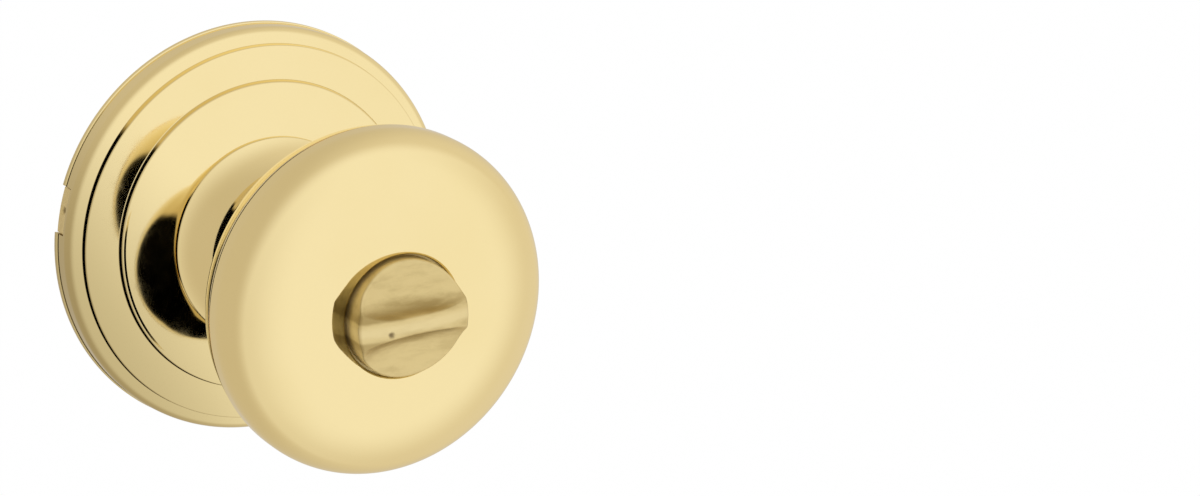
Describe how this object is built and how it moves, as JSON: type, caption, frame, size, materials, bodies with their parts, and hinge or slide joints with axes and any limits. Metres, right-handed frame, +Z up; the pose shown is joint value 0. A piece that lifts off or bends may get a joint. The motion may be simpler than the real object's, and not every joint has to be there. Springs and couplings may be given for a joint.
{
  "type": "privacy door knob",
  "caption": "Round brass privacy knob half: stepped rose, flared neck, hollow knob with a turn button, sprung return, spindle and lock bar.",
  "frame": {"origin": "centre of the rose's back, on the knob's turning axis, in the plane of the door's face", "axes": "+Y into the door along the turning axis, -Y out to the room, +Z up, +X to the right as seen from the room"},
  "size_m": [0.0666, 0.1184, 0.0666],
  "materials": {
    "polished_brass": "polished and lacquered",
    "cast_brass": "satin, as cast",
    "yellow_zinc": "yellow zinc plated",
    "bright_steel": "bright zinc plated",
    "spring_steel": "oiled spring steel",
    "bush_bronze": "sintered bronze"
  },
  "bodies": {
    "mounting": {"rose": "polished_brass", "mounting_plate": "yellow_zinc", "post_left": "bright_steel", "post_right": "bright_steel", "bearing_bush": "bush_bronze", "return_spring": "spring_steel", "spring_cover": "yellow_zinc", "cover_rivets": "bright_steel"},
    "knob": {"knob_face": "polished_brass", "knob_back": "polished_brass", "drive_sleeve": "bright_steel", "spring_driver": "spring_steel", "thrust_washer": "bright_steel", "snap_ring": "spring_steel", "spindle_plate": "bright_steel", "spindle": "bright_steel", "spindle_keeper": "bright_steel", "button_bearing": "bright_steel", "button_washer": "spring_steel"},
    "button": {"turn_button": "cast_brass", "stem_pin": "bright_steel", "stem_clip": "spring_steel", "lock_bar": "spring_steel"}
  },
  "joints": [
    {"name": "knob_turn", "type": "hinge", "parent": "mounting", "child": "knob", "pos_m": [0, 0, 0], "axis": [0, 1, 0], "range_deg": [-55, 55], "stiffness_Nm_per_rad": 0.2, "deforming": ["return_spring"]},
    {"name": "button_turn", "type": "hinge", "parent": "knob", "child": "button", "pos_m": [0, 0, 0], "axis": [0, 1, 0], "range_deg": [0, 90]}
  ]
}
